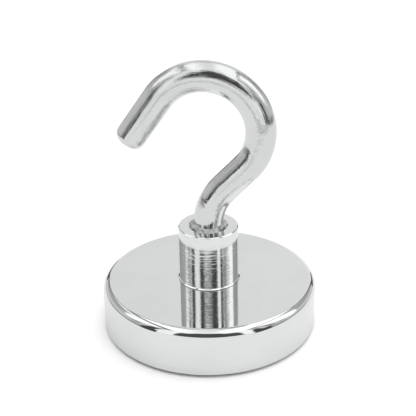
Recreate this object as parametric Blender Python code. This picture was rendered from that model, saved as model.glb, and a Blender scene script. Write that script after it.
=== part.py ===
"""Magnetic hook: a plated steel cup with a potted magnet, a threaded neck and a screw-in hook.

Metres, +Z up. The origin is the centre of the cup's rim, on the side that pulls, and the hook
stands up along +Z with its loop in the XZ plane. The hook's own origin is on the axis that it
turns about, level with the neck's top.
"""

import math

import bmesh
import bpy
from mathutils import Vector

MM = 0.001

# Clearances and the distance under which two points are one
FILM_GAP = 0.03 * MM
SEAT_GAP = 0.05 * MM
THREAD_CLEARANCE = 0.10 * MM
WELD = 0.0001 * MM

# Steel cup
CUP_DIAMETER = 36.0 * MM
CUP_WALL = 2.5 * MM
CUP_PLATE = 3.0 * MM
CUP_FILLET = 1.5 * MM
RIM_CHAMFER = 0.25 * MM
POCKET_FILLET = 0.5 * MM

# Magnet, its glue film and the potting round it
MAGNET_THICKNESS = 4.6 * MM
MAGNET_CHAMFER = 0.4 * MM
MAGNET_RECESS = 0.22 * MM
BOND_THICKNESS = 0.12 * MM
BOND_MARGIN = 1.0 * MM
POTTING_WIDTH = 0.9 * MM
POTTING_DISH = 0.12 * MM

# Rod that the hook is bent from
ROD_DIAMETER = 5.0 * MM
LOWER_BEND_RADIUS = 10.0 * MM
LOWER_BEND_ANGLE = 43.5
LOWER_STRAIGHT = 5.0 * MM
LOOP_RADIUS = 9.0 * MM
LOOP_ANGLE = 188.5
TIP_STRAIGHT = 9.4 * MM
TIP_ROUND = 1.3 * MM
SHANK_CHAMFER = 0.4 * MM
SHANK_END_GAP = 1.2 * MM

# Thread on the shank, M6 by 1, drawn as rings so that the hook can turn without rising
THREAD_RISE = 0.45 * MM
THREAD_FALL = 0.05 * MM
THREAD_PITCH = 1.0 * MM
THREAD_RUNOUT = 1.5 * MM
CREST_SHARE = 0.125
FLANK_SHARE = 0.29

# Neck
NECK_HEIGHT = 9.7 * MM
NECK_WALL = 1.95 * MM
NECK_TOP_CHAMFER = 0.3 * MM
NECK_FOOT_CHAMFER = 0.2 * MM
MOUTH_REACH = 0.25 * MM
SPIGOT_WALL = 0.75 * MM
FLARE_REACH = 0.9 * MM
FLARE_LIP = 0.2 * MM

# Facets
CUP_SEGMENTS = 96
NECK_SEGMENTS = 48
MAGNET_SEGMENTS = 64
ROD_SIDES = 32
ARC_STEP = 7.5
FILLET_STEPS = 5

# Sizes that follow from the ones above
CUP_RADIUS = CUP_DIAMETER / 2
POCKET_RADIUS = CUP_RADIUS - CUP_WALL
POCKET_DEPTH = MAGNET_RECESS + MAGNET_THICKNESS + BOND_THICKNESS + 2 * FILM_GAP
CUP_HEIGHT = POCKET_DEPTH + CUP_PLATE
MAGNET_RADIUS = POCKET_RADIUS - POTTING_WIDTH - 2 * SEAT_GAP
MAGNET_TOP = MAGNET_RECESS + MAGNET_THICKNESS

ROD_RADIUS = ROD_DIAMETER / 2
ROOT_RADIUS = ROD_RADIUS - THREAD_FALL
CREST_RADIUS = ROD_RADIUS + THREAD_RISE
BORE_RADIUS = ROOT_RADIUS + THREAD_CLEARANCE
GROOVE_RADIUS = CREST_RADIUS + THREAD_CLEARANCE

NECK_RADIUS = GROOVE_RADIUS + NECK_WALL
MOUTH_RADIUS = GROOVE_RADIUS + MOUTH_REACH
MOUTH_DEPTH = MOUTH_RADIUS - BORE_RADIUS
SPIGOT_RADIUS = GROOVE_RADIUS + SPIGOT_WALL
FLARE_RADIUS = SPIGOT_RADIUS + FLARE_REACH
SPIGOT_LENGTH = CUP_PLATE - SEAT_GAP

# Heights below are measured from the neck's top, where the hook has its origin
NECK_FOOT = -NECK_HEIGHT + SEAT_GAP
NECK_BOTTOM = -NECK_HEIGHT - SPIGOT_LENGTH
THREAD_TOP = -MOUTH_DEPTH
SHANK_BOTTOM = NECK_BOTTOM + SHANK_END_GAP
THREAD_BOTTOM = SHANK_BOTTOM + THREAD_RUNOUT

NECK_TOP_HEIGHT = CUP_HEIGHT + NECK_HEIGHT


def clear_scene():
    """Removes every object that the file opens with."""
    for obj in list(bpy.data.objects):
        bpy.data.objects.remove(obj, do_unlink=True)


def make_material(name, colour, metallic, roughness):
    """A Principled material of one colour."""
    material = bpy.data.materials.new(name)
    material.use_nodes = True
    shader = material.node_tree.nodes["Principled BSDF"]
    shader.inputs["Base Color"].default_value = (*colour, 1.0)
    shader.inputs["Metallic"].default_value = metallic
    shader.inputs["Roughness"].default_value = roughness
    material.diffuse_color = (*colour, 1.0)
    return material


def add_object(name, mesh_data, height, material, parent):
    """Turns a bmesh into a named object that stands on the axis at a height."""
    bmesh.ops.recalc_face_normals(mesh_data, faces=mesh_data.faces)
    mesh = bpy.data.meshes.new(name)
    mesh_data.to_mesh(mesh)
    mesh_data.free()
    mesh.shade_smooth()
    mesh.set_sharp_from_angle(angle=math.radians(30))
    mesh.materials.append(material)
    obj = bpy.data.objects.new(name, mesh)
    obj.location = (0, 0, height)
    obj.parent = parent
    bpy.context.collection.objects.link(obj)
    return obj


def turned(name, outline, segments, height, material, parent):
    """A turned piece. Its outline is (radius, height) points, closed by a last side."""
    mesh_data = bmesh.new()
    corners = [mesh_data.verts.new((radius, 0, z)) for radius, z in outline]
    sides = [
        mesh_data.edges.new(ends) for ends in zip(corners, corners[1:] + corners[:1])
    ]
    if outline[0][0] == 0 and outline[-1][0] == 0:
        mesh_data.edges.remove(sides.pop())
    bmesh.ops.spin(
        mesh_data,
        geom=corners + sides,
        cent=(0, 0, 0),
        axis=(0, 0, 1),
        angle=math.tau,
        steps=segments,
        use_merge=True,
    )
    bmesh.ops.remove_doubles(mesh_data, verts=mesh_data.verts, dist=WELD)
    return add_object(name, mesh_data, height, material, parent)


def round_corner(centre_radius, centre_height, size, start, end):
    """Points of a rounded corner, from one angle to another in degrees above outwards."""
    points = []
    for step in range(FILLET_STEPS + 1):
        angle = math.radians(start + (end - start) * step / FILLET_STEPS)
        points.append(
            (
                centre_radius + size * math.cos(angle),
                centre_height + size * math.sin(angle),
            )
        )
    return points


def thread_ridges():
    """Heights of the thread's ridges, from the top one down."""
    half_ridge = THREAD_PITCH * (CREST_SHARE / 2 + FLANK_SHARE)
    ridges = []
    height = THREAD_TOP - half_ridge
    while height - half_ridge > THREAD_BOTTOM:
        ridges.append(height)
        height -= THREAD_PITCH
    return ridges


def ridge_outline(height, root, crest):
    """(radius, height) points of one ridge, from its lower foot to its upper one."""
    half_crest = THREAD_PITCH * CREST_SHARE / 2
    half_ridge = half_crest + THREAD_PITCH * FLANK_SHARE
    return [
        (root, height - half_ridge),
        (crest, height - half_crest),
        (crest, height + half_crest),
        (root, height + half_ridge),
    ]


def make_cup(material, parent):
    """The cup: a plate with a round edge and a hole, and a wall round the pocket."""
    flare_hole = FLARE_RADIUS + SEAT_GAP
    spigot_hole = SPIGOT_RADIUS + SEAT_GAP
    outline = [(spigot_hole, CUP_HEIGHT)]
    outline += round_corner(
        CUP_RADIUS - CUP_FILLET, CUP_HEIGHT - CUP_FILLET, CUP_FILLET, 90, 0
    )
    outline += [
        (CUP_RADIUS, RIM_CHAMFER),
        (CUP_RADIUS - RIM_CHAMFER, 0),
        (POCKET_RADIUS + RIM_CHAMFER, 0),
        (POCKET_RADIUS, RIM_CHAMFER),
    ]
    outline += round_corner(
        POCKET_RADIUS - POCKET_FILLET,
        POCKET_DEPTH - POCKET_FILLET,
        POCKET_FILLET,
        0,
        90,
    )
    outline += [
        (flare_hole, POCKET_DEPTH),
        (flare_hole, POCKET_DEPTH + FLARE_LIP + SEAT_GAP),
        (spigot_hole, POCKET_DEPTH + FLARE_LIP + SEAT_GAP + FLARE_REACH),
    ]
    return turned("steel_cup", outline, CUP_SEGMENTS, 0, material, parent)


def make_magnet(material, parent):
    """The magnet: a disc with broken edges, a little inside the rim."""
    outline = [
        (0, MAGNET_TOP),
        (MAGNET_RADIUS - MAGNET_CHAMFER, MAGNET_TOP),
        (MAGNET_RADIUS, MAGNET_TOP - MAGNET_CHAMFER),
        (MAGNET_RADIUS, MAGNET_RECESS + MAGNET_CHAMFER),
        (MAGNET_RADIUS - MAGNET_CHAMFER, MAGNET_RECESS),
        (0, MAGNET_RECESS),
    ]
    return turned("magnet_disc", outline, MAGNET_SEGMENTS, 0, material, parent)


def make_bond(material, parent):
    """The glue film between the magnet and the cup's inner face."""
    radius = MAGNET_RADIUS - BOND_MARGIN
    low = MAGNET_TOP + FILM_GAP
    outline = [
        (0, low + BOND_THICKNESS),
        (radius, low + BOND_THICKNESS),
        (radius, low),
        (0, low),
    ]
    return turned("magnet_bond", outline, MAGNET_SEGMENTS, 0, material, parent)


def make_potting(material, parent):
    """The potting ring between the magnet and the cup's wall, dished where it shows."""
    outer = POCKET_RADIUS - SEAT_GAP
    inner = MAGNET_RADIUS + SEAT_GAP
    low = MAGNET_RECESS
    high = POCKET_DEPTH - POCKET_FILLET
    outline = [
        (inner, high),
        (outer, high),
        (outer, low),
        ((inner + outer) / 2, low + POTTING_DISH),
        (inner, low),
    ]
    return turned("epoxy_ring", outline, CUP_SEGMENTS, 0, material, parent)


def make_neck(material, parent):
    """The neck: a tapped bush with a spigot through the cup, rolled over inside it."""
    outline = [
        (MOUTH_RADIUS, 0),
        (NECK_RADIUS - NECK_TOP_CHAMFER, 0),
        (NECK_RADIUS, -NECK_TOP_CHAMFER),
        (NECK_RADIUS, NECK_FOOT + NECK_FOOT_CHAMFER),
        (NECK_RADIUS - NECK_FOOT_CHAMFER, NECK_FOOT),
        (SPIGOT_RADIUS, NECK_FOOT),
        (SPIGOT_RADIUS, NECK_BOTTOM + FLARE_LIP + FLARE_REACH),
        (FLARE_RADIUS, NECK_BOTTOM + FLARE_LIP),
        (FLARE_RADIUS, NECK_BOTTOM),
        (BORE_RADIUS, NECK_BOTTOM),
    ]
    for height in reversed(thread_ridges()):
        outline += ridge_outline(height, BORE_RADIUS, GROOVE_RADIUS)
    return turned(
        "threaded_neck", outline, NECK_SEGMENTS, NECK_TOP_HEIGHT, material, parent
    )


class RodPath:
    """Walks along the rod's middle line in the XZ plane and notes a ring at each stop."""

    def __init__(self, height):
        self.place = Vector((0, 0, height))
        self.heading = math.radians(90)
        self.rings = []

    def along(self):
        """The direction of travel."""
        return Vector((math.cos(self.heading), 0, math.sin(self.heading)))

    def stop(self, radius):
        """Notes a ring here."""
        self.rings.append((self.place.copy(), self.along(), radius))

    def rise_to(self, height, radius):
        """Goes straight up to a height and notes a ring there."""
        self.place.z = height
        self.stop(radius)

    def straight(self, length, radius):
        """Goes straight on and notes a ring at the end."""
        self.place += self.along() * length
        self.stop(radius)

    def bend(self, bend_radius, angle, radius):
        """Follows an arc and notes its rings. A positive angle turns to the left."""
        steps = max(2, round(abs(angle) / ARC_STEP))
        turn = math.radians(angle) / steps
        chord = 2 * bend_radius * math.sin(abs(turn) / 2)
        for _ in range(steps):
            self.heading += turn / 2
            self.place += self.along() * chord
            self.heading += turn / 2
            self.stop(radius)


def hook_path():
    """The hook's rings: threaded shank, lower bend, loop and rounded tip."""
    path = RodPath(SHANK_BOTTOM)
    path.stop(ROOT_RADIUS - SHANK_CHAMFER)
    path.rise_to(SHANK_BOTTOM + SHANK_CHAMFER, ROOT_RADIUS)
    for ridge in reversed(thread_ridges()):
        for radius, height in ridge_outline(ridge, ROOT_RADIUS, CREST_RADIUS):
            path.rise_to(height, radius)
    path.rise_to(THREAD_TOP + THREAD_FALL, ROD_RADIUS)
    path.rise_to(0, ROD_RADIUS)
    path.bend(LOWER_BEND_RADIUS, -LOWER_BEND_ANGLE, ROD_RADIUS)
    path.straight(LOWER_STRAIGHT, ROD_RADIUS)
    path.bend(LOOP_RADIUS, LOOP_ANGLE, ROD_RADIUS)
    path.straight(TIP_STRAIGHT - TIP_ROUND, ROD_RADIUS)
    reached = 0
    for step in range(1, FILLET_STEPS + 1):
        angle = math.radians(90 * step / FILLET_STEPS)
        advance = TIP_ROUND * math.sin(angle)
        path.straight(
            advance - reached, ROD_RADIUS - TIP_ROUND * (1 - math.cos(angle))
        )
        reached = advance
    return path.rings


def make_hook(material, parent):
    """The hook: one round rod, threaded at its foot and bent to an open loop."""
    mesh_data = bmesh.new()
    across = Vector((0, 1, 0))
    rings = []
    for place, along, radius in hook_path():
        side = along.cross(across)
        ring = []
        for number in range(ROD_SIDES):
            angle = math.tau * number / ROD_SIDES
            spoke = side * math.cos(angle) + across * math.sin(angle)
            ring.append(mesh_data.verts.new(place + spoke * radius))
        rings.append(ring)
    for lower, upper in zip(rings, rings[1:]):
        for number in range(ROD_SIDES):
            following = (number + 1) % ROD_SIDES
            mesh_data.faces.new(
                (lower[number], lower[following], upper[following], upper[number])
            )
    mesh_data.faces.new(rings[0])
    mesh_data.faces.new(rings[-1])
    return add_object("hook", mesh_data, NECK_TOP_HEIGHT, material, parent)


def main():
    """Builds the pieces under one empty at the origin."""
    clear_scene()
    assembly = bpy.data.objects.new("magnetic_hook", None)
    bpy.context.collection.objects.link(assembly)

    bright_nickel = make_material("bright_nickel", (0.76, 0.77, 0.77), 1.0, 0.08)
    magnet_nickel = make_material("magnet_nickel", (0.66, 0.66, 0.64), 1.0, 0.22)
    potting = make_material("potting", (0.03, 0.03, 0.035), 0.0, 0.35)
    glue = make_material("glue", (0.55, 0.52, 0.42), 0.0, 0.45)

    make_cup(bright_nickel, assembly)
    make_magnet(magnet_nickel, assembly)
    make_bond(glue, assembly)
    make_potting(potting, assembly)
    make_neck(bright_nickel, assembly)
    make_hook(bright_nickel, assembly)


main()
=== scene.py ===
"""The looks of a magnetic hook: bright nickel on turned and bent steel, in a white light tent.

Metres, +Z up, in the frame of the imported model; only the light tent's own sizes are in
millimetres. Each sub-assembly is a class that holds its sizes, builds its meshes and dresses them.
The finishes come first, then the pieces, then the studio.
"""

import logging
import math
from collections.abc import Iterator
from dataclasses import dataclass
from enum import Enum
from typing import ClassVar

import bmesh
import bpy
from bpy.types import ID, Material, Mesh, Node, NodeOutputs, NodeSocket, NodeTree, Object
from mathutils import Matrix, Vector


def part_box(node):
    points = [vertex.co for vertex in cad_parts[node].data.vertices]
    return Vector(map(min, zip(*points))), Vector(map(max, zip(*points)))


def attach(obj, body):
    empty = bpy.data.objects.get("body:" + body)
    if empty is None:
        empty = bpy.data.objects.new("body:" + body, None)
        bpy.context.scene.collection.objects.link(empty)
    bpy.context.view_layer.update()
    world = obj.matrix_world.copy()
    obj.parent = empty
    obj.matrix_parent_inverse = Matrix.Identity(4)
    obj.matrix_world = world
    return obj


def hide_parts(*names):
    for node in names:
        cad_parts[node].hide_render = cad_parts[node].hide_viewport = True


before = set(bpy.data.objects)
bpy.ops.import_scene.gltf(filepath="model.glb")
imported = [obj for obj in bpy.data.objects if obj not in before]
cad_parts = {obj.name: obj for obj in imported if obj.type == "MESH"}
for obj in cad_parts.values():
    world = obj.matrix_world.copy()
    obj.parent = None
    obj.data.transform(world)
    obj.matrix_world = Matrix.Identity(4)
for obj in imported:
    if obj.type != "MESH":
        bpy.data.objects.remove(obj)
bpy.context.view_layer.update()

MM = 0.001

LOG = logging.getLogger("magnetic_hook")


class Body(Enum):
    """The bodies that a piece can ride on."""

    BASE = "base"
    HOOK = "hook"


class Slot(Enum):
    """The record's material slots."""

    CUP = "bright_nickel"
    NECK = "neck_nickel"
    HOOK = "hook_nickel"
    MAGNET = "magnet_nickel"
    GLUE = "glue"
    POTTING = "potting"


class Marks(Enum):
    """Which way the tool marks on a plated piece run."""

    FACED = "rings round the axis on a flat face"
    TURNED = "rings round the axis on a side"
    DRAWN = "lines along the rod"


# Node trees


Wire = NodeSocket | float | tuple[float, ...]
Wires = dict[str | int, Wire]
Colour = tuple[float, float, float]


class Sheet:
    """A node tree that nodes are added to and wired in."""

    def __init__(self, tree: NodeTree) -> None:
        """Starts on a tree."""
        self.tree = tree

    def put(self, node: Node, wires: Wires) -> None:
        """Sets a node's inputs.

        Args:
            node: The node.
            wires: What each input takes, by name or number: a value or another node's socket.
        """
        for key, value in wires.items():
            if isinstance(value, NodeSocket):
                self.tree.links.new(value, node.inputs[key])
            else:
                node.inputs[key].default_value = value

    def add(self, kind: str, wires: Wires | None = None, **settings: object) -> Node:
        """Adds a node.

        Args:
            kind: The node's type name.
            wires: What each input takes, by name or number.
            **settings: The node's own properties.

        Returns:
            The new node.
        """
        node = self.tree.nodes.new(kind)
        for name, value in settings.items():
            setattr(node, name, value)
        self.put(node, wires or {})
        return node

    def sum(self, operation: str, *values: Wire) -> NodeSocket:
        """Adds a Math node and gives its result."""
        return self.add("ShaderNodeMath", dict(enumerate(values)), operation=operation).outputs[0]

    def vector(self, operation: str, *values: Wire, output: str = "Vector") -> NodeSocket:
        """Adds a Vector Math node and gives its result."""
        node = self.add("ShaderNodeVectorMath", dict(enumerate(values)), operation=operation)
        return node.outputs[output]

    def spread(
        self, value: Wire, low: Wire, high: Wire, start: Wire = 0.0, end: Wire = 1.0, course: str = "LINEAR"
    ) -> NodeSocket:
        """Turns a value's run from start to end into one from low to high, and holds it there."""
        wires = {"Value": value, "From Min": start, "From Max": end, "To Min": low, "To Max": high}
        return self.add("ShaderNodeMapRange", wires, interpolation_type=course).outputs["Result"]

    def noise(self, place: Wire, scale: Wire, detail: float, roughness: float = 0.5) -> NodeSocket:
        """Adds a Noise Texture and gives its value, from 0 to 1."""
        wires = {"Vector": place, "Scale": scale, "Detail": detail, "Roughness": roughness}
        return self.add("ShaderNodeTexNoise", wires).outputs["Fac"]

    def blend(self, share: Wire, first: Colour, second: Colour) -> NodeSocket:
        """Adds a Mix node that goes from the first colour to the second."""
        wires = {"Factor": share, "A": (*first, 1.0), "B": (*second, 1.0)}
        return self.add("ShaderNodeMix", wires, data_type="RGBA").outputs["Result"]

    def bumped(self, height: Wire) -> NodeSocket:
        """Adds a Bump node and gives the normal for a height in metres."""
        wires = {"Strength": 1.0, "Distance": 1.0, "Height": height}
        return self.add("ShaderNodeBump", wires).outputs["Normal"]

    def attribute(self, name: str, output: str = "Fac") -> NodeSocket:
        """Adds an Attribute node and gives its value."""
        return self.add("ShaderNodeAttribute", attribute_name=name).outputs[output]

    def place(self) -> NodeSocket:
        """Adds a Texture Coordinate node and gives a point's place in its object."""
        return self.add("ShaderNodeTexCoord").outputs["Object"]

    def level(self, place: Wire) -> NodeSocket:
        """Gives the height of a place."""
        return self.add("ShaderNodeSeparateXYZ", {"Vector": place}).outputs["Z"]

    def raised(self, place: Wire, rise: Wire) -> NodeSocket:
        """Gives a place moved up."""
        return self.vector("ADD", place, self.add("ShaderNodeCombineXYZ", {"Z": rise}).outputs[0])

    def radial(self, place: Wire) -> tuple[NodeSocket, NodeSocket]:
        """Gives the part of a place that is square to the axis, and its length."""
        flat = self.vector("MULTIPLY", place, (1.0, 1.0, 0.0))
        return flat, self.vector("LENGTH", flat, output="Value")


def new_group(
    name: str, kind: str, inputs: dict[str, str], outputs: dict[str, str]
) -> tuple[Sheet, NodeOutputs, Node]:
    """Makes an empty node group.

    Args:
        name: The group's name.
        kind: Shader or Geometry.
        inputs: Each input's kind of socket by name, such as Float.
        outputs: The same for its outputs.

    Returns:
        A sheet on the group's tree, what the group is given, and its output node.
    """
    tree = bpy.data.node_groups.new(name, f"{kind}NodeTree")
    for way, sockets in (("INPUT", inputs), ("OUTPUT", outputs)):
        for label, socket in sockets.items():
            tree.interface.new_socket(label, in_out=way, socket_type=f"NodeSocket{socket}")
    sheet = Sheet(tree)
    return sheet, sheet.add("NodeGroupInput").outputs, sheet.add("NodeGroupOutput")


def new_material(name: str) -> tuple[Material, Sheet, Node]:
    """Makes a material.

    Args:
        name: Its name.

    Returns:
        The material, a sheet on its tree and its Principled shader.
    """
    made = bpy.data.materials.new(name)
    made.use_nodes = True
    return made, Sheet(made.node_tree), made.node_tree.nodes["Principled BSDF"]


@dataclass(frozen=True)
class Plating:
    """What all the plating has: soft waves, and wider hazy patches with pin specks in them."""

    haze_scale: float = 0.22
    haze_start: float = 0.38
    haze_full: float = 0.68
    specks_per_metre: float = 2600.0
    speck_share: float = 0.09

    def group(self) -> None:
        """Makes the plating's node group. It gives a tone from 0 to 1, a roughness and a height."""
        inputs = ("Wave Size", "Wave Depth", "Grain Size", "Grain Depth", "Clear", "Hazy")
        outputs = ("Tone", "Roughness", "Height")
        sheet, given, result = new_group(
            "plating", "Shader", dict.fromkeys(inputs, "Float"), dict.fromkeys(outputs, "Float")
        )
        place = sheet.place()
        finer = sheet.sum("DIVIDE", 1.0, given["Wave Size"])
        waves = sheet.noise(place, finer, detail=1.0)
        haze = sheet.noise(place, sheet.sum("MULTIPLY", finer, self.haze_scale), detail=4.0)
        specks = sheet.noise(place, self.specks_per_metre, detail=2.0)
        cloud = sheet.sum("ADD", haze, sheet.spread(specks, -self.speck_share, self.speck_share))
        patchy = sheet.spread(cloud, 0.0, 1.0, self.haze_start, self.haze_full, "SMOOTHSTEP")
        grain = sheet.noise(place, sheet.sum("DIVIDE", 1.0, given["Grain Size"]), detail=2.0)
        waved = sheet.sum("MULTIPLY", waves, given["Wave Depth"])
        pitted = sheet.sum("MULTIPLY", grain, given["Grain Depth"])
        wires = {"Tone": patchy, "Roughness": sheet.spread(patchy, given["Clear"], given["Hazy"])}
        sheet.put(result, {**wires, "Height": sheet.sum("ADD", waved, pitted)})


@dataclass(frozen=True)
class ToolMarks:
    """How uneven the tool marks are, and how far from their end they fade, in metres."""

    swell_scale: float = 0.17
    roughness: float = 0.6
    fade: float = 0.6 * MM

    def group(self) -> None:
        """Makes the tool marks' node group: uneven lines, long one way and narrow the other.

        It takes a place, the size of one mark and where on Z the marks end, and gives a height.
        """
        inputs = {"Place": "Vector", "Mark": "Vector", "Depth": "Float", "End": "Float"}
        sheet, given, result = new_group("tool_lines", "Shader", inputs, {"Height": "Float"})
        left = sheet.sum("SUBTRACT", given["End"], sheet.level(given["Place"]))
        depth = sheet.spread(left, 0.0, given["Depth"], 0.0, self.fade)
        place = sheet.vector("DIVIDE", given["Place"], given["Mark"])
        lines = sheet.noise(place, 1.0, detail=3.0, roughness=self.roughness)
        swell = sheet.spread(sheet.noise(place, self.swell_scale, detail=1.0), 0.0, 2.0)
        uneven = sheet.sum("MULTIPLY", sheet.sum("SUBTRACT", lines, 0.5), swell)
        sheet.put(result, {"Height": sheet.sum("MULTIPLY", uneven, depth)})


@dataclass(frozen=True)
class Nickel:
    """Nickel plating over tool marks. Lengths are in metres."""

    CROSSWISE: ClassVar[float] = 0.25  # of a turn

    name: str
    marks: Marks
    colour: Colour = (0.8, 0.81, 0.81)
    dull: Colour = (0.775, 0.785, 0.785)
    clear: float = 0.03
    hazy: float = 0.07
    wave_size: float = 2.0 * MM
    wave_depth: float = 0.002 * MM
    grain_size: float = 0.3 * MM
    grain_depth: float = 0.0
    mark_width: float = 0.12 * MM
    mark_length: float = 3.0 * MM
    mark_depth: float = 0.0002 * MM
    mark_end: float = 1.0
    brushed: float = 0.0
    roll: float = 0.0
    roll_foot: float = 0.0
    roll_top: float = 1.0

    def mark_size(self) -> tuple[float, float, float]:
        """The size of one tool mark in the frame that place() gives."""
        wide, long = self.mark_width, self.mark_length
        return (wide, wide, long) if self.marks is Marks.DRAWN else (long, long, wide)

    def place(self, sheet: Sheet) -> NodeSocket:
        """Adds the nodes that say where a point lies along and across the tool marks.

        Args:
            sheet: The material's tree.

        Returns:
            A vector in metres. Its third part runs across turned and faced marks, and along drawn ones.
        """
        if self.marks is Marks.DRAWN:
            spoke = sheet.attribute(BentHook.SPOKE, "Vector")
            radius = BentHook.rod_radius
            round_rod = sheet.vector("MULTIPLY", spoke, (radius, radius, radius))
            return sheet.raised(round_rod, sheet.attribute(BentHook.ALONG))
        if self.marks is Marks.FACED:
            return sheet.raised(*sheet.radial(sheet.place()))
        return sheet.place()

    def height(self, sheet: Sheet, plating: Node) -> NodeSocket:
        """Adds the nodes for the finish's height: plating, tool marks and, on the neck, its roll.

        Args:
            sheet: The material's tree.
            plating: The node for the plating.

        Returns:
            The height in metres.
        """
        marks = {"Place": self.place(sheet), "Mark": self.mark_size()}
        marks |= {"Depth": self.mark_depth, "End": self.mark_end}
        lines = sheet.add("ShaderNodeGroup", marks, node_tree=bpy.data.node_groups["tool_lines"])
        height = sheet.sum("ADD", plating.outputs["Height"], lines.outputs["Height"])
        if self.roll:
            level = sheet.level(sheet.place())
            swollen = sheet.spread(level, 0.0, self.roll, self.roll_foot, self.roll_top, "SMOOTHSTEP")
            height = sheet.sum("ADD", height, swollen)
        return height

    def material(self) -> Material:
        """Builds the finish.

        Returns:
            The material.
        """
        made, sheet, shader = new_material(self.name)
        sizes = {"Wave Size": self.wave_size, "Wave Depth": self.wave_depth}
        sizes |= {"Grain Size": self.grain_size, "Grain Depth": self.grain_depth}
        sizes |= {"Clear": self.clear, "Hazy": self.hazy}
        plating = sheet.add("ShaderNodeGroup", sizes, node_tree=bpy.data.node_groups["plating"])
        wires = {
            "Metallic": 1.0,
            "Base Color": sheet.blend(plating.outputs["Tone"], self.colour, self.dull),
            "Roughness": plating.outputs["Roughness"],
            "Normal": sheet.bumped(self.height(sheet, plating)),
        }
        if self.brushed:
            around = sheet.add("ShaderNodeTangent", direction_type="RADIAL", axis="Z").outputs[0]
            wires |= {"Anisotropic": self.brushed, "Anisotropic Rotation": self.CROSSWISE}
            wires["Tangent"] = around
        sheet.put(shader, wires)
        return made


@dataclass(frozen=True)
class Resin:
    """A cured resin, such as the potting or the glue film. Lengths are in metres."""

    name: str
    colour: Colour
    mottled: Colour
    smooth: float = 0.25
    matt: float = 0.5
    grain: float = 1.2 * MM
    ripple: float = 0.02 * MM

    def material(self) -> Material:
        """Builds the finish.

        Returns:
            The material.
        """
        made, sheet, shader = new_material(self.name)
        cloud = sheet.noise(sheet.place(), 1 / self.grain, detail=3.0)
        wires = {
            "Base Color": sheet.blend(cloud, self.colour, self.mottled),
            "Roughness": sheet.spread(cloud, self.smooth, self.matt),
            "Normal": sheet.bumped(sheet.sum("MULTIPLY", cloud, self.ripple)),
        }
        sheet.put(shader, wires)
        return made


# Turned shapes


@dataclass(frozen=True)
class Corner:
    """A corner of a turned outline, and the radius that rounds it off."""

    radius: float
    height: float
    round: float = 0.0

    def place(self) -> Vector:
        """The corner as a point of the outline's plane."""
        return Vector((self.radius, self.height))


ARC_STEP = 5.0  # degrees


def rounded(corners: list[Corner]) -> Iterator[Vector]:
    """Walks round an outline and rounds each corner off with an arc.

    Args:
        corners: The corners in order. An outline that starts on the axis ends on it too.

    Yields:
        Points of the outline.
    """
    for number, corner in enumerate(corners):
        here = corner.place()
        if corner.round == 0:
            yield here
            continue
        back = (corners[number - 1].place() - here).normalized()
        ahead = (corners[(number + 1) % len(corners)].place() - here).normalized()
        half = back.angle(ahead) / 2
        centre = here + (back + ahead).normalized() * (corner.round / math.sin(half))
        start = here + back * (corner.round / math.tan(half)) - centre
        end = here + ahead * (corner.round / math.tan(half)) - centre
        steps = max(2, round(math.degrees(math.pi - 2 * half) / ARC_STEP))
        for step in range(steps + 1):
            yield centre + start.slerp(end, step / steps) * corner.round


def meshed(made: bmesh.types.BMesh, name: str) -> Mesh:
    """Turns worked geometry into a mesh and frees it.

    Args:
        made: The geometry.
        name: The mesh's name.

    Returns:
        The mesh.
    """
    mesh = bpy.data.meshes.new(name)
    made.to_mesh(mesh)
    made.free()
    return mesh


def placed(name: str, data: ID) -> Object:
    """Puts an object in the scene, at the origin.

    Args:
        name: The object's name.
        data: What it holds, such as a mesh.

    Returns:
        The object.
    """
    made = bpy.data.objects.new(name, data)
    bpy.context.scene.collection.objects.link(made)
    return made


def turned(name: str, outline: list[Vector], segments: int) -> Mesh:
    """Turns an outline about the axis.

    Args:
        name: The mesh's name.
        outline: Points of radius and height. Its ends meet, or lie on the axis.
        segments: Faces round the axis.

    Returns:
        A closed mesh whose faces point outwards.
    """
    made = bmesh.new()
    rings = []
    for radius, height in outline:
        turns = [math.tau * number / segments for number in range(segments if radius else 1)]
        places = ((radius * math.cos(turn), radius * math.sin(turn), height) for turn in turns)
        rings.append([made.verts.new(place) for place in places])
    following = rings[1:] if len(rings[0]) == 1 else rings[1:] + rings[:1]
    for upper, lower in zip(rings, following):
        for number in range(segments):
            beyond = (number + 1) % segments
            face = [upper[number % len(upper)], upper[beyond % len(upper)]]
            face += [lower[beyond % len(lower)], lower[number % len(lower)]]
            made.faces.new(list(dict.fromkeys(face)))
    bmesh.ops.recalc_face_normals(made, faces=made.faces)
    mesh = meshed(made, name)
    mesh.shade_smooth()
    return mesh


def place_piece(mesh: Mesh, finish: Material, slot: Slot, body: Body, node: str) -> None:
    """Puts a finished mesh in the scene in place of a node.

    Args:
        mesh: The mesh, with its place in its points.
        finish: Its material.
        slot: The record's slot that the finish stands for. It is not used.
        body: The body that it rides on.
        node: The node that it replaces.
    """
    mesh.materials.clear()
    mesh.materials.append(finish)
    piece = placed(mesh.name, mesh)
    level = piece.modifiers.new("flat faces stay flat", "WEIGHTED_NORMAL")
    level.keep_sharp = True
    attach(piece, body.value)
    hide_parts(node)
    LOG.info("%s: %d faces, rides on %s", piece.name, len(mesh.polygons), body.value)


# Shapes that Geometry Nodes make


def dressed(sheet: Sheet, shape: NodeSocket, finish: NodeSocket) -> NodeSocket:
    """Adds the last nodes of a Geometry Nodes tree: makes instances real and gives them a finish."""
    real = sheet.add("GeometryNodeRealizeInstances", {"Geometry": shape}).outputs[0]
    return sheet.add("GeometryNodeSetMaterial", {"Geometry": real, "Material": finish}).outputs[0]


WALL_SLACK = 0.005 * MM


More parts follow.
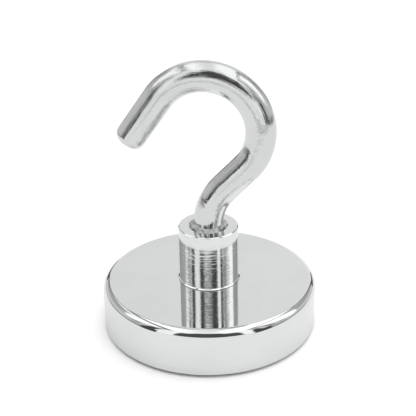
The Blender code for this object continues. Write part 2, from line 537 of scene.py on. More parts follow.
def thread_tree() -> None:
    """Makes the Geometry Nodes tree that raises thread rings on the straight round walls of a mesh.

    It moves points outwards by up to the rise, in as many rings as it is told.
    """
    sizes = dict.fromkeys(("Root Radius", "Rise", "Pitch", "Top Ring", "Crest", "Flank"), "Float")
    inputs = {"Geometry": "Geometry", **sizes, "Rings": "Int", "Finish": "Material"}
    sheet, given, result = new_group("thread_rings", "Geometry", inputs, {"Geometry": "Geometry"})
    place = sheet.add("GeometryNodeInputPosition").outputs[0]
    flat, reach = sheet.radial(place)
    depth = sheet.sum("SUBTRACT", given["Top Ring"], sheet.level(place))
    depth = sheet.sum("DIVIDE", depth, given["Pitch"])
    ring = sheet.sum("ROUND", depth)
    within = sheet.sum("ABSOLUTE", sheet.sum("SUBTRACT", depth, ring))
    foot = sheet.sum("ADD", given["Crest"], given["Flank"])
    rise = sheet.spread(within, given["Rise"], 0.0, given["Crest"], foot)
    above = sheet.sum("GREATER_THAN", ring, -0.5)
    below = sheet.sum("LESS_THAN", ring, sheet.sum("SUBTRACT", given["Rings"], 0.5))
    slack = sheet.sum("ABSOLUTE", sheet.sum("SUBTRACT", reach, given["Root Radius"]))
    on_wall = sheet.sum("LESS_THAN", slack, WALL_SLACK)
    wanted = sheet.sum("MULTIPLY", sheet.sum("MULTIPLY", above, below), on_wall)
    shift = sheet.vector("MULTIPLY", sheet.vector("NORMALIZE", flat), rise)
    wires = {"Geometry": given["Geometry"], "Selection": wanted, "Offset": shift}
    moved = sheet.add("GeometryNodeSetPosition", wires).outputs[0]
    sheet.put(result, {"Geometry": dressed(sheet, moved, given["Finish"])})


def rod_tree() -> None:
    """Makes the Geometry Nodes tree that sweeps a round rod along a path.

    The rod takes the path's own radius. Each point notes where round and how far along it lies.
    """
    inputs = {"Geometry": "Geometry", "Sides": "Int", "Finish": "Material"}
    sheet, given, result = new_group("bent_rod", "Geometry", inputs, {"Geometry": "Geometry"})
    far = sheet.add("GeometryNodeSplineParameter").outputs["Length"]
    path = sheet.add(
        "GeometryNodeStoreNamedAttribute",
        {"Geometry": given["Geometry"], "Name": BentHook.ALONG, "Value": far},
        data_type="FLOAT",
    )
    circle = sheet.add("GeometryNodeCurvePrimitiveCircle", {"Resolution": given["Sides"], "Radius": 1.0})
    spoke = sheet.add("GeometryNodeInputPosition").outputs[0]
    section = sheet.add(
        "GeometryNodeStoreNamedAttribute",
        {"Geometry": circle.outputs["Curve"], "Name": BentHook.SPOKE, "Value": spoke},
        data_type="FLOAT_VECTOR",
    )
    width = sheet.add("GeometryNodeInputRadius").outputs[0]
    wires = {"Curve": path.outputs["Geometry"], "Profile Curve": section.outputs["Geometry"]}
    swept = sheet.add("GeometryNodeCurveToMesh", {**wires, "Scale": width, "Fill Caps": True})
    rod = sheet.add("GeometryNodeSetShadeSmooth", {"Geometry": swept.outputs["Mesh"]}).outputs[0]
    sheet.put(result, {"Geometry": dressed(sheet, rod, given["Finish"])})


def grow(piece: Object, tree: str, **values: object) -> None:
    """Adds a Geometry Nodes tree to an object as a modifier.

    Args:
        piece: The object.
        tree: The tree's name.
        **values: What its inputs take, by name, with underscores for spaces.
    """
    modifier = piece.modifiers.new(tree, "NODES")
    modifier.node_group = bpy.data.node_groups[tree]
    for item in modifier.node_group.interface.items_tree:
        name = item.name.replace(" ", "_").lower()
        if item.in_out == "INPUT" and name in values:
            modifier[item.identifier] = values[name]


def settled(piece: Object, name: str) -> Mesh:
    """Turns an object with modifiers into a plain mesh and removes the object.

    Args:
        piece: The object.
        name: The mesh's name.

    Returns:
        The mesh.
    """
    bpy.context.view_layer.update()
    seen = piece.evaluated_get(bpy.context.evaluated_depsgraph_get())
    mesh = bpy.data.meshes.new_from_object(seen)
    piece.modifiers.clear()
    bpy.data.objects.remove(piece, do_unlink=True)
    mesh.name = name
    return mesh


@dataclass(frozen=True)
class Thread:
    """The M6 by 1 thread, drawn as rings. Heights are in metres above the cup's rim."""

    pitch: float = 1.0 * MM
    rise: float = 0.45 * MM
    fall: float = 0.05 * MM
    crest_share: float = 0.125
    flank_share: float = 0.29
    clearance: float = 0.10 * MM
    runout: float = 1.5 * MM
    rows: int = 16

    def cut(self, piece: Object, root: float, top: float, finish: Material) -> None:
        """Raises the rings on a piece's straight wall, down to where the shank's thread runs out.

        Args:
            piece: The piece.
            root: The wall's radius.
            top: Where the thread starts.
            finish: The piece's material.
        """
        half = self.pitch * (self.crest_share / 2 + self.flank_share)
        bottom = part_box("hook")[0].z + self.runout
        grow(
            piece,
            "thread_rings",
            root_radius=root,
            rise=self.rise + self.fall,
            pitch=self.pitch,
            top_ring=top - half,
            crest=self.crest_share / 2,
            flank=self.flank_share,
            rings=math.ceil((top - bottom - 2 * half) / self.pitch),
            finish=finish,
        )

    def steps(self, length: float) -> int:
        """How many rows of points a straight wall needs to take the rings."""
        return math.ceil(length / self.pitch * self.rows)


# The pieces


@dataclass
class PotMagnet:
    """The base: a steel cup with a magnet glued into it and potted. Sizes are in metres."""

    wall: float = 2.5 * MM
    fillet: float = 1.5 * MM
    rim_edge: float = 0.25 * MM
    pocket_fillet: float = 0.5 * MM
    pocket_depth: float = 5.0 * MM
    hole_edge: float = 0.06 * MM
    magnet_edge: float = 0.4 * MM
    glue_edge_share: float = 0.45
    creep: float = 0.12 * MM
    creep_steps: int = 12
    segments: int = 288
    cup_finish: Nickel = Nickel("cup_nickel", Marks.FACED)
    magnet_finish: Nickel = Nickel(
        "magnet_nickel",
        Marks.FACED,
        colour=(0.66, 0.66, 0.64),
        dull=(0.58, 0.58, 0.56),
        clear=0.16,
        hazy=0.3,
        mark_depth=0.002 * MM,
    )
    potting_finish: Resin = Resin("black_epoxy", (0.022, 0.022, 0.026), (0.045, 0.045, 0.05))
    glue_finish: Resin = Resin("amber_glue", (0.5, 0.46, 0.34), (0.6, 0.57, 0.46))

    def build(self) -> None:
        """Builds the base's four pieces."""
        self.cup()
        self.magnet()
        self.glue()
        self.potting()

    def show(self, name: str, outline: list[Vector], finish: Nickel | Resin, slot: Slot, node: str) -> None:
        """Turns an outline and puts it in the scene in place of a node."""
        place_piece(turned(name, outline, self.segments), finish.material(), slot, Body.BASE, node)

    def cup(self) -> None:
        """The cup: a plate with a round edge and a hole for the neck, and a wall round the pocket."""
        radius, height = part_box("steel_cup")[1].x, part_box("steel_cup")[1].z
        pocket, depth = radius - self.wall, self.pocket_depth
        neck = ThreadedNeck()
        hole = neck.spigot_radius + neck.seat
        flare = neck.flare_radius + neck.seat
        lip = depth + neck.flare_lip + neck.seat
        outline = [
            Corner(hole, height, self.hole_edge),
            Corner(radius, height, self.fillet),
            Corner(radius, self.rim_edge, self.rim_edge / 2),
            Corner(radius - self.rim_edge, 0, self.rim_edge / 2),
            Corner(pocket + self.rim_edge, 0, self.rim_edge / 2),
            Corner(pocket, self.rim_edge, self.rim_edge / 2),
            Corner(pocket, depth, self.pocket_fillet),
            Corner(flare, depth, self.hole_edge),
            Corner(flare, lip),
            Corner(hole, lip + neck.flare_reach),
        ]
        self.show("cup_shell", list(rounded(outline)), self.cup_finish, Slot.CUP, "steel_cup")

    def magnet(self) -> None:
        """The magnet: a ground and plated disc with broken edges."""
        low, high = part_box("magnet_disc")
        radius, bevel = high.x, self.magnet_edge
        outline = [
            Corner(0, high.z),
            Corner(radius - bevel, high.z, bevel / 2),
            Corner(radius, high.z - bevel, bevel / 2),
            Corner(radius, low.z + bevel, bevel / 2),
            Corner(radius - bevel, low.z, bevel / 2),
            Corner(0, low.z),
        ]
        self.show("magnet", list(rounded(outline)), self.magnet_finish, Slot.MAGNET, "magnet_disc")

    def glue(self) -> None:
        """The glue film over the magnet, round at its edge where it was squeezed out."""
        low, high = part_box("magnet_bond")
        bulge = (high.z - low.z) * self.glue_edge_share
        outline = [
            Corner(0, high.z),
            Corner(high.x, high.z, bulge),
            Corner(high.x, low.z, bulge),
            Corner(0, low.z),
        ]
        self.show("glue_film", list(rounded(outline)), self.glue_finish, Slot.GLUE, "magnet_bond")

    def potting(self) -> None:
        """The potting ring between magnet and cup, which creeps up both walls where it shows."""
        low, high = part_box("epoxy_ring")
        outer = high.x
        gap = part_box("steel_cup")[1].x - self.wall - outer
        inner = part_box("magnet_disc")[1].x + gap
        outline = [Vector((inner, high.z)), Vector((outer, high.z))]
        for step in range(self.creep_steps + 1):
            share = step / self.creep_steps
            rise = self.creep * math.sin(math.pi * share)
            outline.append(Vector((outer + (inner - outer) * share, low.z + rise)))
        self.show("potting", outline, self.potting_finish, Slot.POTTING, "epoxy_ring")


@dataclass
class ThreadedNeck:
    """The neck: a tapped bush with a spigot through the cup, rolled over inside. Sizes are in metres."""

    seat: float = 0.05 * MM
    edge: float = 0.15 * MM
    collar: float = 0.21 * MM
    collar_side: float = 0.04 * MM
    collar_slope: float = 0.18 * MM
    soft: float = 0.06 * MM
    mouth_reach: float = 0.25 * MM
    spigot_wall: float = 0.75 * MM
    flare_reach: float = 0.9 * MM
    flare_lip: float = 0.2 * MM
    segments: int = 192
    thread: Thread = Thread()
    finish: Nickel = Nickel(
        "neck_nickel",
        Marks.TURNED,
        clear=0.05,
        hazy=0.075,
        mark_width=0.4 * MM,
        mark_length=4.0 * MM,
        mark_depth=0.055 * MM,
        mark_end=15.3 * MM,
        brushed=0.95,
        roll=0.112 * MM,
        roll_foot=12.5 * MM,
        roll_top=17.0 * MM,
    )

    @property
    def groove_radius(self) -> float:
        """How far out the bore's grooves reach."""
        return BentHook.rod_radius + self.thread.rise + self.thread.clearance

    @property
    def bore_radius(self) -> float:
        """The bore between its grooves."""
        return BentHook.rod_radius - self.thread.fall + self.thread.clearance

    @property
    def mouth_radius(self) -> float:
        """The mouth, where its slope meets the neck's top."""
        return self.groove_radius + self.mouth_reach

    @property
    def thread_top(self) -> float:
        """Where the thread starts: at the foot of the mouth's 45 degree slope."""
        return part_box("threaded_neck")[1].z - (self.mouth_radius - self.bore_radius)

    @property
    def spigot_radius(self) -> float:
        """The spigot that passes through the cup."""
        return self.groove_radius + self.spigot_wall

    @property
    def flare_radius(self) -> float:
        """The spigot's end, rolled over inside the cup."""
        return self.spigot_radius + self.flare_reach

    def build(self) -> None:
        """Builds the neck."""
        low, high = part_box("threaded_neck")
        top, bottom, radius = high.z, low.z, high.x
        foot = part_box("steel_cup")[1].z + self.seat
        shoulder = foot + self.collar_side
        corners = [
            Corner(self.bore_radius, self.thread_top, self.soft / 2),
            Corner(self.mouth_radius, top, self.soft),
            Corner(radius - self.edge, top, self.soft / 2),
            Corner(radius, top - self.edge, self.soft / 2),
            Corner(radius, shoulder + self.collar_slope, self.soft / 2),
            Corner(radius + self.collar, shoulder, self.collar_side / 2),
            Corner(radius + self.collar, foot, self.collar_side / 2),
            Corner(self.spigot_radius, foot),
            Corner(self.spigot_radius, bottom + self.flare_lip + self.flare_reach),
            Corner(self.flare_radius, bottom + self.flare_lip, self.soft),
            Corner(self.flare_radius, bottom, self.soft),
            Corner(self.bore_radius, bottom),
        ]
        outline = list(rounded(corners))
        length = self.thread_top - self.soft - bottom
        rows = self.thread.steps(length)
        outline += [Vector((self.bore_radius, bottom + length * row / rows)) for row in range(1, rows + 1)]
        blank = placed("neck_blank", turned("neck_blank", outline, self.segments))
        finish = self.finish.material()
        self.thread.cut(blank, self.bore_radius, self.thread_top, finish)
        place_piece(settled(blank, "neck"), finish, Slot.NECK, Body.BASE, "threaded_neck")


class RodPath:
    """Walks along the rod's middle line in the XZ plane and notes each stop with the rod's radius."""

    def __init__(self, height: float, bend_step: float) -> None:
        """Starts on the axis, heading up.

        Args:
            height: The height to start at.
            bend_step: The angle from stop to stop in a bend, in degrees.
        """
        self.place = Vector((0, 0, height))
        self.bend_step = bend_step
        self.heading = math.radians(90)
        self.stops: list[tuple[Vector, float]] = []

    def along(self) -> Vector:
        """The direction of travel."""
        return Vector((math.cos(self.heading), 0, math.sin(self.heading)))

    def straight(self, length: float, radius: float, steps: int = 1) -> None:
        """Goes straight on.

        Args:
            length: How far.
            radius: The rod's radius at each stop.
            steps: How many stops.
        """
        for _ in range(steps):
            self.place += self.along() * (length / steps)
            self.stops.append((self.place.copy(), radius))

    def bend(self, bend_radius: float, angle: float, radius: float) -> None:
        """Follows an arc.

        Args:
            bend_radius: The arc's radius.
            angle: How far it turns, in degrees. A positive angle turns to the left.
            radius: The rod's radius at each stop.
        """
        steps = round(abs(angle) / self.bend_step)
        turn = math.radians(angle) / steps
        chord = 2 * bend_radius * math.sin(abs(turn) / 2)
        for _ in range(steps):
            self.heading += turn / 2
            self.place += self.along() * chord
            self.heading += turn / 2
            self.stops.append((self.place.copy(), radius))

    def curve(self, name: str) -> Object:
        """Makes the path a curve object.

        Args:
            name: The object's name.

        Returns:
            A curve of one open line through the stops.
        """
        data = bpy.data.curves.new(name, "CURVE")
        data.dimensions = "3D"
        line = data.splines.new("POLY")
        line.points.add(len(self.stops) - 1)
        for point, (place, radius) in zip(line.points, self.stops):
            point.co = (*place, 1.0)
            point.radius = radius
        return placed(name, data)


@dataclass
class BentHook:
    """The hook: a round rod, threaded at its foot and bent to an open loop. Sizes are in metres."""

    SPOKE: ClassVar[str] = "spoke"
    ALONG: ClassVar[str] = "along"

    rod_radius: float = 2.5 * MM
    lower_radius: float = 10.0 * MM
    lower_angle: float = 43.5
    lower_straight: float = 5.0 * MM
    loop_radius: float = 9.0 * MM
    loop_angle: float = 188.5
    tip_straight: float = 9.4 * MM
    tip_round: float = 1.3 * MM
    shank_edge: float = 0.4 * MM
    bend_step: float = 1.5
    mouth_steps: int = 4
    straight_steps: int = 16
    arm_steps: int = 24
    round_steps: int = 18
    sides: int = 128
    thread: Thread = Thread()
    finish: Nickel = Nickel(
        "hook_nickel",
        Marks.DRAWN,
        colour=(0.71, 0.72, 0.72),
        dull=(0.685, 0.695, 0.695),
        wave_size=1.2 * MM,
        wave_depth=0.03 * MM,
        grain_depth=0.012 * MM,
        mark_width=0.22 * MM,
        mark_length=12.0 * MM,
        mark_depth=0.028 * MM,
    )

    @property
    def root_radius(self) -> float:
        """The shank between its thread's crests."""
        return self.rod_radius - self.thread.fall

    def path(self) -> RodPath:
        """The rod's middle line, from the shank's end to the tip.

        Returns:
            The path with its stops.
        """
        path = RodPath(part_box("hook")[0].z, self.bend_step)
        path.straight(0, self.root_radius - self.shank_edge)
        path.straight(self.shank_edge, self.root_radius)
        length = ThreadedNeck().thread_top - path.place.z
        path.straight(length, self.root_radius, self.thread.steps(length))
        path.straight(self.thread.fall, self.rod_radius)
        path.straight(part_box("threaded_neck")[1].z - path.place.z, self.rod_radius, self.mouth_steps)
        path.bend(self.lower_radius, -self.lower_angle, self.rod_radius)
        path.straight(self.lower_straight, self.rod_radius, self.straight_steps)
        path.bend(self.loop_radius, self.loop_angle, self.rod_radius)
        path.straight(self.tip_straight - self.tip_round, self.rod_radius, self.arm_steps)
        reached = 0.0
        for step in range(1, self.round_steps + 1):
            angle = math.radians(90 * step / self.round_steps)
            advance = self.tip_round * math.sin(angle)
            path.straight(advance - reached, self.rod_radius - self.tip_round * (1 - math.cos(angle)))
            reached = advance
        return path

    def build(self) -> None:
        """Builds the hook."""
        finish = self.finish.material()
        rod = self.path().curve("hook_path")
        grow(rod, "bent_rod", sides=self.sides, finish=finish)
        self.thread.cut(rod, self.root_radius, ThreadedNeck().thread_top, finish)
        place_piece(settled(rod, "hook_rod"), finish, Slot.HOOK, Body.HOOK, "hook")


# The studio


def smooth(low: float, high: float, value: float) -> float:
    """Rises smoothly from 0 at one value to 1 at another."""
    share = min(1.0, max(0.0, (value - low) / (high - low)))
    return share * share * (3 - 2 * share)


def edge(soft: float, depth: float) -> float:
    """How far a point lies inside a soft edge, from 0 to 1, by its depth past the edge's middle."""
    return smooth(-soft, soft, depth)


def mix(first: float, second: float, share: float) -> float:
    """Goes from the first value to the second."""
    return first + (second - first) * share


@dataclass(frozen=True)
class Fade:
    """A share, brightness or width that changes smoothly from one place to another."""

    start: float
    end: float
    first: float
    last: float

    def at(self, place: float) -> float:
        """What it is at a place."""
        return mix(self.first, self.last, smooth(self.start, self.end, place))


Panel = tuple[Vector, Vector, Vector]


def facing(half_width: float, distance: float, foot: float, height: float) -> Panel:
    """An upright panel in front of the object: its corner and its two sides."""
    corner = Vector((-half_width, -distance, foot))
    return corner, Vector((2 * half_width, 0, 0)), Vector((0, 0, height))


class Wall(Enum):
    """The light tent's panels, and what stands in front of it."""

    LEFT = "left"
    RIGHT = "right"
    FRONT = "front"
    BACK = "back"
    TOP = "top"
    FLAP = "flap on the table"
    ROOM = "room beyond the opening"
    # painted light: a glowing card that only twice-mirrored rays see
    CARD = "card in front of the object"


@dataclass(frozen=True)
class Lamp:
    """A lamp behind a side panel, which lights the cloth above a scalloped edge. In millimetres."""

    tip: float
    middle: float
    spread: float
    soft: float
    glow: float

    def share(self, place: Vector) -> float:
        """How much of the lamp's light a point of its panel gets, from 0 to 1."""
        above = place.z - self.tip - (place.y - self.middle) ** 2 / self.spread
        return edge(self.soft, above)


@dataclass(frozen=True)
class Opening:
    """The front panel's opening, over a hem, and the dark room beyond it. In millimetres."""

    left: float = -88
    right: float = 105
    soft: float = 4
    sill: Fade = Fade(10, 30, 0, 1)
    lintel: Fade = Fade(290, 325, 1, 0)
    arch: Fade = Fade(25, 60, 0, 115)
    room_distance: float = 600
    room_half_width: float = 600
    room_height: float = 1100
    room: Fade = Fade(140, 172, 1, 0.08)

    def share(self, place: Vector) -> float:
        """How far a point of the front panel is open, from 0 to 1."""
        inside = edge(self.soft, place.x - self.left) * edge(self.soft, self.right - place.x)
        return inside * self.sill.at(place.z) * self.lintel.at(place.z + self.arch.at(abs(place.x)))


@dataclass(frozen=True)
class PaintedGlowCard:
    """A pale glowing card in front, which shows only in what is mirrored twice: painted light that stands in
    for the tent's light which the neck's turning marks spread into its twice-mirrored middle. In
    millimetres.
    """

    distance: float = 80
    foot: float = 30
    plane_half_width: float = 40
    plane_height: float = 40
    middle_x: float = -1
    middle_z: float = 50
    half_width: float = 20
    half_height: float = 10
    side_soft: float = 9
    end_soft: float = 3.5
    cover: float = 0.85
    glow: Fade = Fade(-5, 11, 1.05, 0.72)
    missed_below: float = 1.5

    def share(self, place: Vector) -> float:
        """How far a point of the card's plane is open, from 0 to 1."""
        inside = edge(self.side_soft, self.half_width - abs(place.x - self.middle_x))
        return 1 - self.cover * inside * edge(self.end_soft, self.half_height - abs(place.z - self.middle_z))


@dataclass(frozen=True)
class Side:
    """What one side of the tent has of its own: lamp, dark seams, paler strips. In millimetres."""

    lamp: Lamp
    seam: Fade
    seam_start: Fade
    front_seam: Fade
    strips: tuple[float, ...]
    high: float
    strip_half_width: float = 14
    strip_soft: float = 5
    strip_glow: float = 0.4
    strip_foot: Fade = Fade(88, 104, 0, 1)

    def strip(self, place: Vector) -> float:
        """How much paler the nearest strip makes a point."""
        depth = self.strip_half_width - min(abs(place.y - strip) for strip in self.strips)
        return self.strip_glow * self.strip_foot.at(place.z) * edge(self.strip_soft, depth)


@dataclass
class LightTent:
    """A white light tent that the plating mirrors. Only mirror rays see it. In millimetres."""

    left: float = 190
    right: float = 209
    front: float = 142
    back: float = 307
    height: float = 350
    turn: float = 3.8
    cell: float = 5
    fine_cell: float = 2
    opening: Opening = Opening()
    # painted light in the neck's twice-mirrored middle
    card: PaintedGlowCard = PaintedGlowCard()
    left_side: Side = Side(
        lamp=Lamp(110, 10, 46, 12, 1.26),
        seam=Fade(86, 104, 62, 54),
        seam_start=Fade(86, 104, -10, 8),
        front_seam=Fade(86, 104, 27, -10),
        strips=(-66,),
        high=1.05,
    )
    right_side: Side = Side(
        lamp=Lamp(78, 25, 43, 14, 1.4),
        seam=Fade(98, 122, 50, 13),
        seam_start=Fade(86, 104, -10, -10),
        front_seam=Fade(95, 200, 58, 27),
        strips=(-111, -46),
        high=0.5,
    )
    side_low: Fade = Fade(75, 105, 0.68, 0.52)
    side_front: Fade = Fade(-50, -5, -0.18, 0)
    side_back: Fade = Fade(60, 110, 0, 1)
    side_back_foot: Fade = Fade(105, 145, 0, 1)
    side_high: Fade = Fade(205, 250, 0, 1)
    side_back_glow: float = 0.42
    front_left: float = 1.08
    front_right: float = 1.18
    back_low: Fade = Fade(40, 110, 1, 0.84)
    back_across: Fade = Fade(-120, 120, -0.02, 0.03)
    roof_left: Fade = Fade(-130, -10, 1.38, 0.95)
    roof_right: Fade = Fade(10, 62, 0.95, 1.32)
    hem_top: float = 28
    hem_soft: float = 6
    hem_foot: Fade = Fade(8, 18, 0.1, 1)
    front_hem: float = 0.75
    side_hem: float = 0.16
    hem_back: Fade = Fade(60, 130, 1, 0)
    flap: float = 50
    flap_glow: Fade = Fade(-85, -40, 0.97, 0.66)
    front_seam_dark: Fade = Fade(170, 270, 0.07, 0.5)
    back_seam: Fade = Fade(40, 90, 60, 20)
    back_seam_start: float = -10
    back_seam_dark: float = 0.1
    seam_soft: float = 5
    left_fold: Fade = Fade(39, 13, 0, 1)
    right_fold: Fade = Fade(18, 6, 0, 1)
    fold_dark: float = 0.14

    def panel(self, wall: Wall) -> Panel:
        """A panel's corner and its two sides.

        Args:
            wall: Which panel.

        Returns:
            The corner, and the vectors along its length and its height.
        """
        across = Vector((self.left + self.right, 0, 0))
        inwards = Vector((0, self.front + self.back, 0))
        upwards = Vector((0, 0, self.height))
        corner = Vector((-self.left, -self.front, 0))
        room, card = self.opening, self.card
        return {
            Wall.LEFT: (corner, inwards, upwards),
            Wall.RIGHT: (corner + across, inwards, upwards),
            Wall.FRONT: (corner, across, upwards),
            Wall.BACK: (corner + inwards, across, upwards),
            Wall.TOP: (corner + upwards, across, inwards),
            Wall.FLAP: (corner, across, Vector((0, self.flap, 0))),
            Wall.ROOM: facing(room.room_half_width, room.room_distance, 0, room.room_height),
            Wall.CARD: facing(card.plane_half_width, card.distance, card.foot, card.plane_height),
        }[wall]

    def side(self, place: Vector) -> Side:
        """The side of the tent that a point is nearer to."""
        return self.left_side if place.x < 0 else self.right_side

    def hem(self, place: Vector) -> float:
        """How much of a point lies in the grey hem along the tent's foot, from 0 to 1."""
        return edge(self.hem_soft, self.hem_top - place.z) * self.hem_foot.at(place.z)

    def cloth_glow(self, place: Vector, wall: Wall) -> float:
        """How bright the plain cloth of a panel is.

        Args:
            place: The point.
            wall: Its panel.

        Returns:
            Its brightness: white over a grey hem in front, whitest at its foot behind, brightest
            along the sides of the roof, and at the sides grey below and white where the lamp shines.
        """
        if wall is Wall.FRONT:
            cloth = self.front_left if place.x < 0 else self.front_right
            return mix(cloth, self.front_hem, self.hem(place))
        if wall is Wall.BACK:
            return self.back_low.at(place.z) + self.back_across.at(place.x)
        if wall is Wall.TOP:
            return (self.roof_left if place.x < 0 else self.roof_right).at(place.x)
        side = self.side(place)
        back = self.side_back.at(place.y) * self.side_back_foot.at(place.z)
        cloth = self.side_low.at(place.z) + self.side_front.at(place.y) + side.strip(place)
        cloth = mix(mix(cloth, self.side_back_glow, back), side.high, self.side_high.at(place.z))
        cloth = mix(cloth, side.lamp.glow, side.lamp.share(place))
        return mix(cloth, self.side_hem, self.hem(place) * self.hem_back.at(place.y))

    def seamed(self, bright: float, place: Vector, wall: Wall, off: float) -> float:
        """Darkens a point where it lies in a seam at one of the tent's corners.

        Args:
            bright: Its brightness without the seam.
            place: The point.
            wall: Its panel.
            off: How far it lies from the corner.

        Returns:
            Its brightness.
        """
        seam, start, dark = self.back_seam.at(place.z), self.back_seam_start, self.back_seam_dark
        if place.y < 0:
            side = self.side(place)
            seam, dark = side.front_seam.at(place.z), self.front_seam_dark.at(place.z)
            if wall is not Wall.FRONT:
                seam, start = side.seam.at(place.z), side.seam_start.at(place.z)
        return mix(bright, dark, edge(self.seam_soft, seam - off) * edge(self.seam_soft, off - start))

    def glow(self, place: Vector, wall: Wall) -> float:
        """How bright a point of a panel is.

        Args:
            place: The point, in the tent's own frame.
            wall: Its panel.

        Returns:
            Its brightness, 1 being white.
        """
        if wall is Wall.FLAP:
            return self.flap_glow.at(place.x)
        if wall is Wall.ROOM:
            return self.opening.room.at(place.z)
        # the card's painted light
        if wall is Wall.CARD:
            return self.card.glow.at(place.x)
        bright = self.cloth_glow(place, wall)
        sideways = min(place.x + self.left, self.right - place.x)
        endways = min(place.y + self.front, self.back - place.y)
        if wall is not Wall.TOP:
            bright = self.seamed(bright, place, wall, max(sideways, endways))
        off = max(self.height - place.z, min(sideways, self.back - place.y))
        fold = self.left_fold if place.x < 0 else self.right_fold
        return mix(bright, self.fold_dark, fold.at(off))

    def gap(self, place: Vector, wall: Wall) -> float:
        """How far a point of a panel is open, from 0 to 1."""
        screen = {Wall.FRONT: self.opening, Wall.CARD: self.card}.get(wall)
        return screen.share(place) if screen else 0.0

    def build(self, azimuth: float) -> None:
        """Builds the tent round the object.

        Args:
            azimuth: The camera's azimuth in degrees. The tent's opening faces it.
        """
        made = bmesh.new()
        layers = made.verts.layers.float
        glow, gap, card = (layers.new(name) for name in ("glow", "gap", "card"))
        for wall in Wall:
            corner, along, upwards = self.panel(wall)
            cell = self.fine_cell if wall is Wall.CARD else self.cell
            columns, rows = round(along.length / cell), round(upwards.length / cell)
            grid = []
            for row in range(rows + 1):
                grid.append([])
                for column in range(columns + 1):
                    place = corner + along * (column / columns) + upwards * (row / rows)
                    knot = made.verts.new(place * MM)
                    knot[glow] = self.glow(place, wall)
                    knot[gap] = self.gap(place, wall)
                    knot[card] = float(wall is Wall.CARD)
                    grid[row].append(knot)
            for lower, upper in zip(grid, grid[1:]):
                for near, far in zip(range(columns), range(1, columns + 1)):
                    made.faces.new((lower[near], lower[far], upper[far], upper[near]))
        tent = placed("light_tent", meshed(made, "light_tent"))
        tent.data.materials.append(self.cloth())
        tent.rotation_euler.z = math.radians(azimuth - self.turn)
        for ray in ("camera", "diffuse", "shadow", "volume_scatter"):
            setattr(tent, f"visible_{ray}", False)

    def cloth(self) -> Material:
        """The glowing cloth. Rays that were mirrored only once miss the card and its painted light.

        Returns:
            The material, as bright and as open as each point says.
        """
        made, sheet, principled = new_material("tent_cloth")
        ray = sheet.add("ShaderNodeLightPath")
        # the card's painted light is missed by rays mirrored only once
        early = sheet.sum("LESS_THAN", ray.outputs["Ray Depth"], self.card.missed_below)
        missed = sheet.sum("MULTIPLY", early, sheet.attribute("card"))
        through = sheet.sum("MAXIMUM", sheet.attribute("gap"), missed)
        light = sheet.add("ShaderNodeEmission", {"Strength": sheet.attribute("glow")}).outputs[0]
        clear = sheet.add("ShaderNodeBsdfTransparent").outputs[0]
        cloth = sheet.add("ShaderNodeMixShader", {0: through, 1: light, 2: clear}).outputs[0]
        made.node_tree.nodes.remove(principled)
        sheet.put(made.node_tree.nodes["Material Output"], {"Surface": cloth})
        made.cycles.emission_sampling = "NONE"
        return made


@dataclass
class Floor:
    """A plain white table. Sizes are in metres."""

    half_size: float = 2.0
    cells: int = 8
    drop: float = 0.38 * MM
    seen: float = 1.2
    mirrored: float = 0.965
    roughness: float = 0.9
    shine: float = 0.1

    def build(self) -> None:
        """Builds the table's top, just under the cup's rim."""
        made = bmesh.new()
        bmesh.ops.create_grid(made, x_segments=self.cells, y_segments=self.cells, size=self.half_size)
        bmesh.ops.translate(made, verts=made.verts, vec=(0, 0, -self.drop))
        top = placed("table_top", meshed(made, "table_top"))
        top.data.materials.append(self.paint())

    def paint(self) -> Material:
        """White paper that the camera sees brighter than the plating mirrors it.

        Returns:
            The material.
        """
        made, sheet, shader = new_material("white_paper")
        ray = sheet.add("ShaderNodeLightPath")
        white = sheet.spread(ray.outputs["Is Camera Ray"], self.mirrored, self.seen)
        wires = {"Base Color": white, "Roughness": self.roughness, "Specular IOR Level": self.shine}
        sheet.put(shader, wires)
        return made


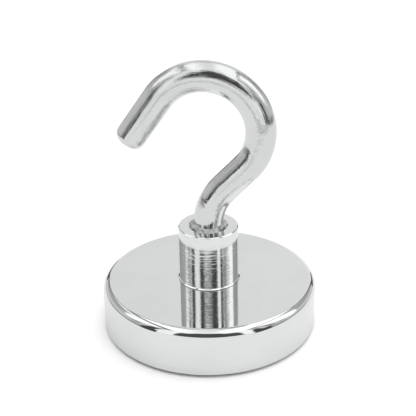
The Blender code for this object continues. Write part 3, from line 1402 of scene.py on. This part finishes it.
@dataclass
class Studio:
    """The camera, the table, the tent and the soft light. Sizes are in metres, angles in degrees."""

    azimuth: float = 9.0
    elevation: float = 25.656
    distance: float = 163.53 * MM
    nearest: float = 1 * MM
    aim_height: float = 20.763 * MM
    roll: float = -0.986
    focal_pixels: float = 993.06
    frame_pixels: int = 416
    overhead: float = 2.0
    light_lean: float = 8.0

    @property
    def turn(self) -> Matrix:
        """The turn from the object's front to the camera's side."""
        return Matrix.Rotation(math.radians(self.azimuth), 3, "Z")

    def build(self) -> None:
        """Builds the studio."""
        self.camera()
        self.world()
        Floor().build()
        LightTent().build(self.azimuth)
        bpy.context.scene.view_settings.view_transform = "Standard"

    def camera(self) -> None:
        """Places the camera where the photograph was taken from."""
        elevation = math.radians(self.elevation)
        back = self.turn @ Vector((0, -math.cos(elevation), math.sin(elevation)))
        data = bpy.data.cameras.new("camera")
        data.lens = self.focal_pixels / self.frame_pixels * data.sensor_width
        data.clip_start = self.nearest
        camera = placed("camera", data)
        camera.location = Vector((0, 0, self.aim_height)) + back * self.distance
        aim = (-back).to_track_quat("-Z", "Y").to_matrix().to_4x4()
        tilt = Matrix.Rotation(math.radians(self.roll), 4, "Z")
        camera.rotation_euler = (aim @ tilt).to_euler()
        bpy.context.scene.camera = camera

    def world(self) -> None:
        """Soft light from overhead, white where the camera looks past the table."""
        world = bpy.data.worlds.new("studio")
        world.use_nodes = True
        sheet = Sheet(world.node_tree)
        ray = sheet.add("ShaderNodeLightPath").outputs
        shown = sheet.sum("MAXIMUM", ray["Is Camera Ray"], ray["Is Glossy Ray"])
        shown = sheet.sum("MAXIMUM", shown, ray["Is Transmission Ray"])
        way = sheet.add("ShaderNodeTexCoord").outputs["Generated"]
        lean = math.radians(self.light_lean)
        towards = self.turn @ Vector((math.sin(lean), 0, math.cos(lean)))
        share = sheet.sum("MAXIMUM", sheet.vector("DOT_PRODUCT", way, towards, output="Value"), 0.0)
        soft = sheet.sum("MULTIPLY", sheet.sum("MULTIPLY", share, share), self.overhead)
        sky = {"Color": (1.0, 1.0, 1.0, 1.0), "Strength": sheet.spread(shown, soft, 1.0)}
        sheet.put(world.node_tree.nodes["Background"], sky)
        bpy.context.scene.world = world


def main() -> None:
    """Builds the hook's sub-assemblies and the studio."""
    logging.basicConfig(level=logging.INFO, format="%(name)s: %(message)s")
    Plating().group()
    ToolMarks().group()
    thread_tree()
    rod_tree()
    for sub_assembly in (PotMagnet(), ThreadedNeck(), BentHook()):
        LOG.info("building %s", type(sub_assembly).__name__)
        sub_assembly.build()
    Studio().build()


if __name__ == "__main__":
    main()
